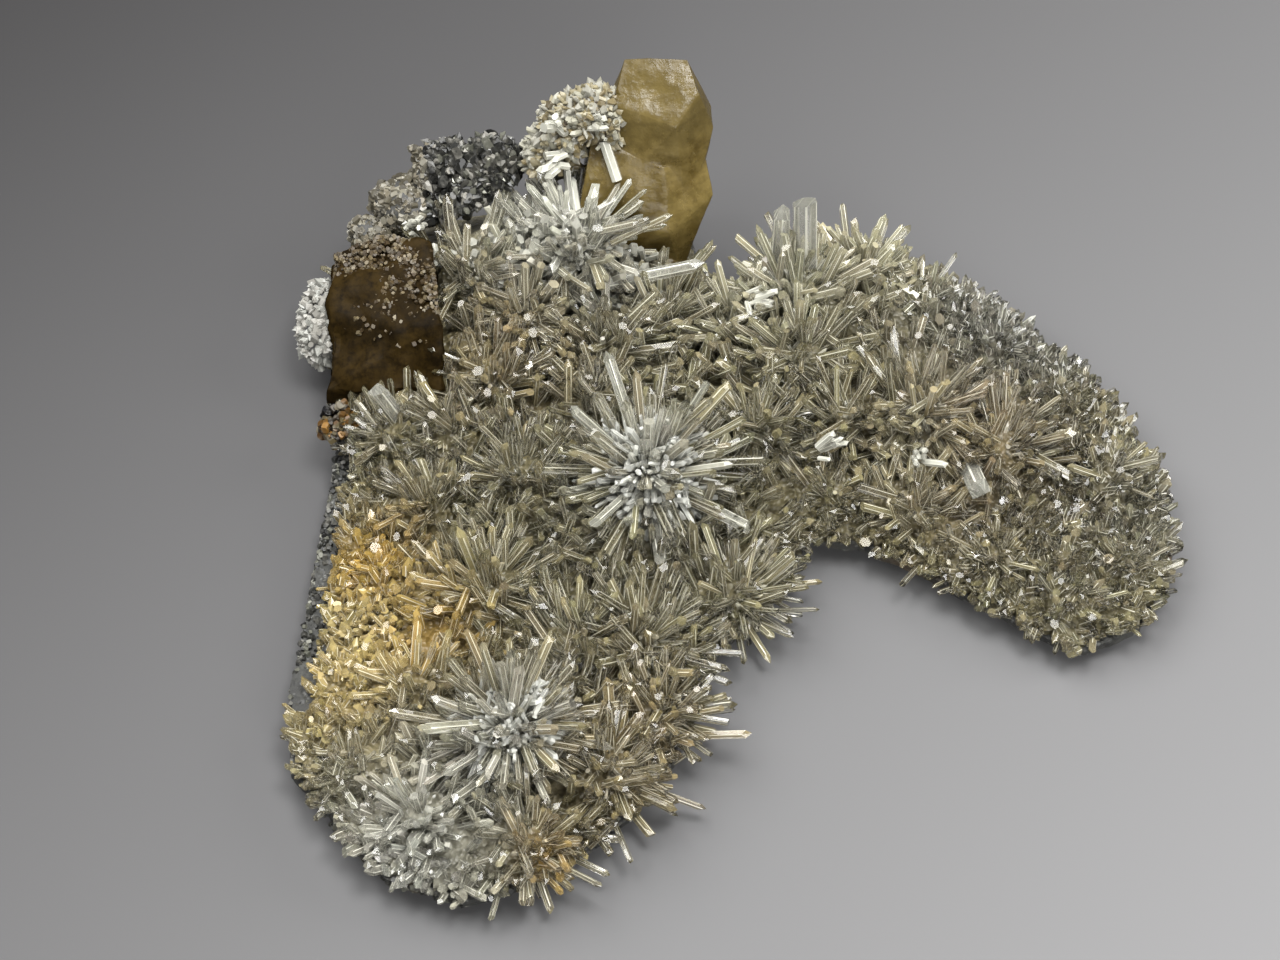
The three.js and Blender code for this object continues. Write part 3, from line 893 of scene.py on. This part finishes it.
def grow_crown():
    """Frosted stubby crystals heaped over the top of the long lobe."""
    growth = Growth()
    for x, y, z in spots_on_rock(CROWN_SPACING):
        far = np.hypot(*((np.array((x, y)) - CROWN_MIDDLE) / CROWN_HALF))
        if far > 1:
            continue
        foot = Vector((x, y, z + rng.uniform(4.0, 8.5) * (1.2 - far)))
        way = (Vector((0, -0.5, 0.8)) + Vector(jitter(0.6))).normalized()
        length = rng.uniform(2.5, 5.5)
        if clear_of_others(foot, way, length):
            radius = rng.uniform(0.5, 1.1)
            growth.add(foot, way, length, radius, np.array(ICE) * 0.9, rng.uniform(0.3, 0.7))
    return growth


# Other pieces, from copies of their solids
def solid_copy(node):
    """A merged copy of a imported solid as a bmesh."""
    bm = bmesh.new()
    bm.from_mesh(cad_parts[node].data)
    bmesh.ops.remove_doubles(bm, verts=bm.verts[:], dist=2e-5)
    return bm


def refine(bm, longest):
    """Splits edges until none is longer than a length in metres."""
    for _ in range(8):
        wide = [e for e in bm.edges if e.calc_length() > longest]
        if not wide:
            break
        bmesh.ops.subdivide_edges(bm, edges=wide, cuts=1)
        bmesh.ops.triangulate(bm, faces=[f for f in bm.faces if len(f.verts) > 3])


def roughen(bm, sizes):
    """Moves every point along its normal by noise of the given depths and scales, in millimetres."""
    bm.normal_update()
    moves = []
    for v in bm.verts:
        move = sum(depth * noise.noise(v.co / (scale * MM)) for depth, scale in sizes)
        moves.append(v.normal * (move * MM))
    for v, move in zip(bm.verts, moves):
        v.co += move


def finished(bm, name, flat):
    mesh = bpy.data.meshes.new(name)
    bm.to_mesh(mesh)
    bm.free()
    if flat:
        mesh.shade_flat()
    return mesh


def rock_mesh():
    bm = solid_copy("matrix")
    refine(bm, 2.2 * MM)
    roughen(bm, [(0.9, 9.0), (0.5, 3.0)])
    for v in bm.verts:
        v.co.z = max(v.co.z, 0.0)
    return finished(bm, "rock", True)


def calcite_mesh(node, name, uneven):
    bm = solid_copy(node)
    bmesh.ops.dissolve_limit(bm, angle_limit=math.radians(2), verts=bm.verts[:], edges=bm.edges[:])
    bmesh.ops.bevel(
        bm,
        geom=bm.edges[:],
        offset=EDGE_BLUNTING * MM,
        affect="EDGES",
        segments=1,
        profile=0.5,
        material=-1,
        clamp_overlap=True,
    )
    bmesh.ops.triangulate(bm, faces=bm.faces[:])
    refine(bm, 1.6 * MM)
    roughen(bm, uneven)
    mesh = finished(bm, name, False)
    mesh.shade_smooth()
    mesh.set_sharp_from_angle(angle=math.radians(18))
    return mesh


def core_mesh(node, name, sizes):
    bm = solid_copy(node)
    refine(bm, 1.2 * MM)
    roughen(bm, sizes)
    return finished(bm, name, True)


def anywhere(spot):
    return True


def grow_on(node, spacing, length, radius, tints, where=anywhere):
    """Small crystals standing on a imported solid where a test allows, with a choice of colours."""
    growth = Growth()
    bm = solid_copy(node)
    for face in bm.faces:
        if face.normal.z < -0.2:
            continue
        a, b, c = [np.array(v.co) / MM - SHIFT for v in face.verts]
        for _ in range(rng.poisson(face.calc_area() / MM**2 / spacing**2)):
            s, t = rng.random(2)
            s, t = (1 - s, 1 - t) if s + t > 1 else (s, t)
            spot = a + (b - a) * s + (c - a) * t
            way = (face.normal + Vector(jitter(0.55))).normalized()
            tint = np.clip(np.array(tints[rng.integers(len(tints))]) * rng.uniform(0.75, 1.15), 0, 0.95)
            if where(spot):
                foot = spot - np.array(way) * 0.4 * length[0]
                growth.add(foot, way, rng.uniform(*length), rng.uniform(*radius), tint)
    bm.free()
    return growth


def grow_white_and_glints():
    """Single milky white crystals, and small bunches of them: partly real white blades, partly painted
    glints of facets.
    """
    growth = Growth()
    for place, axis, count, length, radius in WHITE_AND_GLINT_CRYSTALS:
        for _ in range(count):
            foot = Vector(place) + Vector(jitter(0.9)) * (count > 1)
            way = Vector(axis).normalized() + Vector(jitter(0.3)) * (count > 1)
            share = rng.uniform(0.7, 1.2)
            growth.add(foot, way, length * share, radius * share, ICE, rng.uniform(0.4, 0.8))
    return growth


# Quartz on its rock
POINTS = (0.3, 0.3, 0.2, 0.2)  # how often each shape of needle grows
quartz = needle_finish()
piece(rock_mesh(), rock_finish(), "rock", "matrix")
piece(ground_mesh(), ground_finish(), "quartz", "needle_quartz")
QUARTZ_PIECES = [
    ("spray_needles", grow_sprays),
    ("mat_needles", grow_mat),
    ("milky_hearts", grow_hearts),
    ("crown_crystals", grow_crown),
    ("sugar_crystals", grow_sugar),
    ("white_and_glint_crystals", grow_white_and_glints),
]
for name, grow in QUARTZ_PIECES:
    piece(grow().mesh(name, NEEDLES, POINTS), quartz, "quartz", "needle_quartz")

# Calcites
HONEY_PALE, HONEY_DEEP = (0.16, 0.118, 0.038), (0.06, 0.040, 0.009)
BROWN_PALE, BROWN_DEEP = (0.024, 0.0145, 0.0035), (0.006, 0.0036, 0.001)
honey = calcite_finish(
    "honey_calcite",
    HONEY_PALE,
    HONEY_DEEP,
    gloss=0.2,
    shine=0.03,
    transmission=0.22,
    density=25.0,
    shaded_top=(0.029, 0.035),
    shaded_foot=(0.022, 0.012),
    mottling=0.25,
)
brown = calcite_finish(
    "brown_calcite",
    BROWN_PALE,
    BROWN_DEEP,
    gloss=0.5,
    shine=0.0,
    transmission=0.05,
    density=50.0,
    shaded_top=(0.016, 0.026),
    shaded_foot=(0.013, 0.006),
    mottling=0.7,
)
honey_block = calcite_mesh("honey_calcite", "honey_block", [(0.35, 7.0), (0.08, 2.0)])
brown_block = calcite_mesh("brown_calcite", "brown_block", [(2.2, 9.0), (0.9, 3.5), (0.3, 1.5)])
piece(honey_block, honey, "honey_calcite", "honey_calcite")
piece(brown_block, brown, "brown_calcite", "brown_calcite")

# Druses
WHITES = [(0.3, 0.3, 0.27), (0.28, 0.27, 0.24)]
PALES = [(0.24, 0.21, 0.13), (0.28, 0.27, 0.21), (0.31, 0.30, 0.25), (0.15, 0.12, 0.06)]
CRUMBS = [(0.17, 0.14, 0.086), (0.099, 0.079, 0.046), (0.21, 0.19, 0.14), (0.046, 0.033, 0.02)]
GREYS = [(0.056, 0.054, 0.046), (0.098, 0.098, 0.078), (0.021, 0.021, 0.018)]
DARKS = [(0.011, 0.011, 0.01), (0.021, 0.021, 0.019)]
FROSTS = [(0.23, 0.22, 0.19), *GREYS, *DARKS]
SUGARS = [(0.16, 0.14, 0.10), (0.09, 0.08, 0.055), (0.21, 0.195, 0.15), (0.05, 0.043, 0.028)]
RUSTS = [(0.06, 0.028, 0.004), (0.14, 0.07, 0.012), (0.013, 0.008, 0.003), (0.06, 0.047, 0.022)]
BROWNS = [(0.05, 0.034, 0.014), (0.028, 0.018, 0.007), (0.09, 0.07, 0.037)]
BLACKS = [(0.0066, 0.0066, 0.0073)]
pale = grain_finish("pale_druse", 0.0, 0.3, 0.2)
dark = grain_finish("dark_druse", 0.4, 0.12, 0.0)
frost = grain_finish("frost", 0.0, 0.3, 0.3)
rusty = grain_finish("rusty_nub", 0.1, 0.4, 0.0)


def on_crest(spot):
    """True on the larger lump of the dark druse."""
    return spot[0] > -54


def on_slope(spot):
    return not on_crest(spot)


def on_brown_top(spot):
    """True mostly on the top of the brown calcite, and less and less often further down."""
    return spot[2] + 0.4 * spot[1] > 38 - 9 * rng.random() ** 3


def high_up(spot):
    """True on the top and the back of the pale druse."""
    return spot[2] + spot[1] > 100 + 6 * rng.random()


def on_broken_rim(spot):
    """True along the bare left edge of the rock and under the toe."""
    edge = rim_way(spot[0], spot[1])[0]
    return bare(spot[0], spot[1]) or (spot[1] < -52 and edge < 2)


def behind_nub(spot):
    return spot[1] > 23.5


# Druse crystals: name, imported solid, spacing, lengths, radii, colours, shapes, finish
# and where they stand
DRUSES = [
    ("pale_crystals", "pale_druse", 0.75, (1.0, 2.6), (0.35, 0.85), PALES, NEEDLES, pale, anywhere),
    ("pale_crumbs", "pale_druse", 0.9, (0.4, 0.8), (0.4, 1.0), CRUMBS, CUBES, rusty, high_up),
    ("dark_crystals", "dark_druse", 1.2, (0.5, 1.0), (0.6, 1.4), DARKS + GREYS, CUBES, dark, on_crest),
    ("frost_crystals", "dark_druse", 1.3, (0.8, 2.0), (0.4, 0.8), FROSTS, NEEDLES, frost, on_crest),
    ("slope_crystals", "dark_druse", 0.65, (0.6, 1.6), (0.4, 0.9), SUGARS, CUBES, frost, on_slope),
    ("brown_sugar", "brown_calcite", 0.6, (0.2, 0.5), (0.2, 0.5), BROWNS, CUBES, rusty, on_brown_top),
    ("edge_crystals", "edge_druse", 0.7, (0.5, 1.4), (0.4, 0.9), WHITES, NEEDLES, frost, anywhere),
    ("rusty_crystals", "rusty_nub", 0.9, (0.5, 1.4), (0.4, 0.9), RUSTS, CUBES, rusty, anywhere),
    ("black_crystals", "rusty_nub", 0.9, (0.6, 1.4), (0.6, 1.0), BLACKS, CUBES, dark, behind_nub),
]
CORES = [
    ("pale_druse", "pale_core", (0.14, 0.12, 0.08)),
    ("dark_druse", "dark_core", (0.026, 0.0255, 0.022)),
]
for name, node, spacing, length, radius, tints, habits, finish, where in DRUSES:
    crystals = grow_on(node, spacing, length, radius, tints, where)
    chances = POINTS if habits is NEEDLES else (1.0,)
    piece(crystals.mesh(name, habits, chances), finish, node, node)
grains = grow_on("matrix", 0.8, (0.3, 0.8), (0.25, 0.6), GREYS + DARKS, on_broken_rim)
piece(grains.mesh("rock_grains", CUBES, (1.0,)), rusty, "rock", "matrix")
for node, name, colour in CORES:
    piece(core_mesh(node, name, [(0.5, 3.0)]), core_finish(name, colour), node, node)


# Stage
def area_light(name, at, size, watts):
    """A round soft light that faces the origin."""
    data = bpy.data.lights.new(name, "AREA")
    data.shape = "DISK"
    data.size = size
    data.energy = watts
    obj = bpy.data.objects.new(name, data)
    bpy.context.scene.collection.objects.link(obj)
    obj.location = at
    obj.rotation_euler = (-Vector(at)).to_track_quat("-Z", "Y").to_euler()


def floor_mesh():
    bm = bmesh.new()
    bmesh.ops.create_grid(bm, x_segments=1, y_segments=1, size=4)
    return finished(bm, "floor", False)


floor = bpy.data.objects.new("floor", floor_mesh())
floor.data.materials.append(floor_finish())
bpy.context.scene.collection.objects.link(floor)

# Lights: name, place and width in metres, and power in watts
LIGHTS = [
    ("key", (-0.4, 0.25, 0.85), 1.0, 20.0),
    ("sparkle", (-0.25, 0.1, 0.9), 0.06, 1.2),
    ("overhead", (0.2, -0.05, 0.95), 0.4, 12.0),
    ("front", (0.25, -0.85, 0.55), 0.6, 7.5),
    ("right", (0.75, 0.1, 0.5), 0.4, 5.0),
]
for name, at, size, watts in LIGHTS:
    area_light(name, at, size, watts)

world = bpy.data.worlds.new("studio")
world.use_nodes = True
background = world.node_tree.nodes["Background"]
background.inputs["Color"].default_value = (0.57, 0.565, 0.56, 1)
background.inputs["Strength"].default_value = 0.7
scene = bpy.context.scene
scene.world = world

ELEVATION = math.radians(55)
DISTANCE = 0.6  # metres from the camera to what it looks at
AIM = placed((-16.3, 10.9, 8))
SENSOR_WIDTH = 36
FRAME_WIDTH = 1280 / 5.81  # millimetres that the picture's width shows at the aim
camera = bpy.data.objects.new("camera", bpy.data.cameras.new("camera"))
scene.collection.objects.link(camera)
camera.data.sensor_width = SENSOR_WIDTH
camera.data.lens = SENSOR_WIDTH * DISTANCE / (FRAME_WIDTH * MM)
camera.location = AIM + DISTANCE * Vector((0, -math.cos(ELEVATION), math.sin(ELEVATION)))
camera.rotation_euler = (math.pi / 2 - ELEVATION, 0, 0)
scene.camera = camera
scene.view_settings.view_transform = "Standard"
scene.cycles.use_denoising = True
scene.cycles.max_bounces = 11
scene.cycles.transmission_bounces = 9
scene.cycles.glossy_bounces = 4
scene.cycles.diffuse_bounces = 3
scene.cycles.sample_clamp_direct = 8
scene.cycles.sample_clamp_indirect = 4
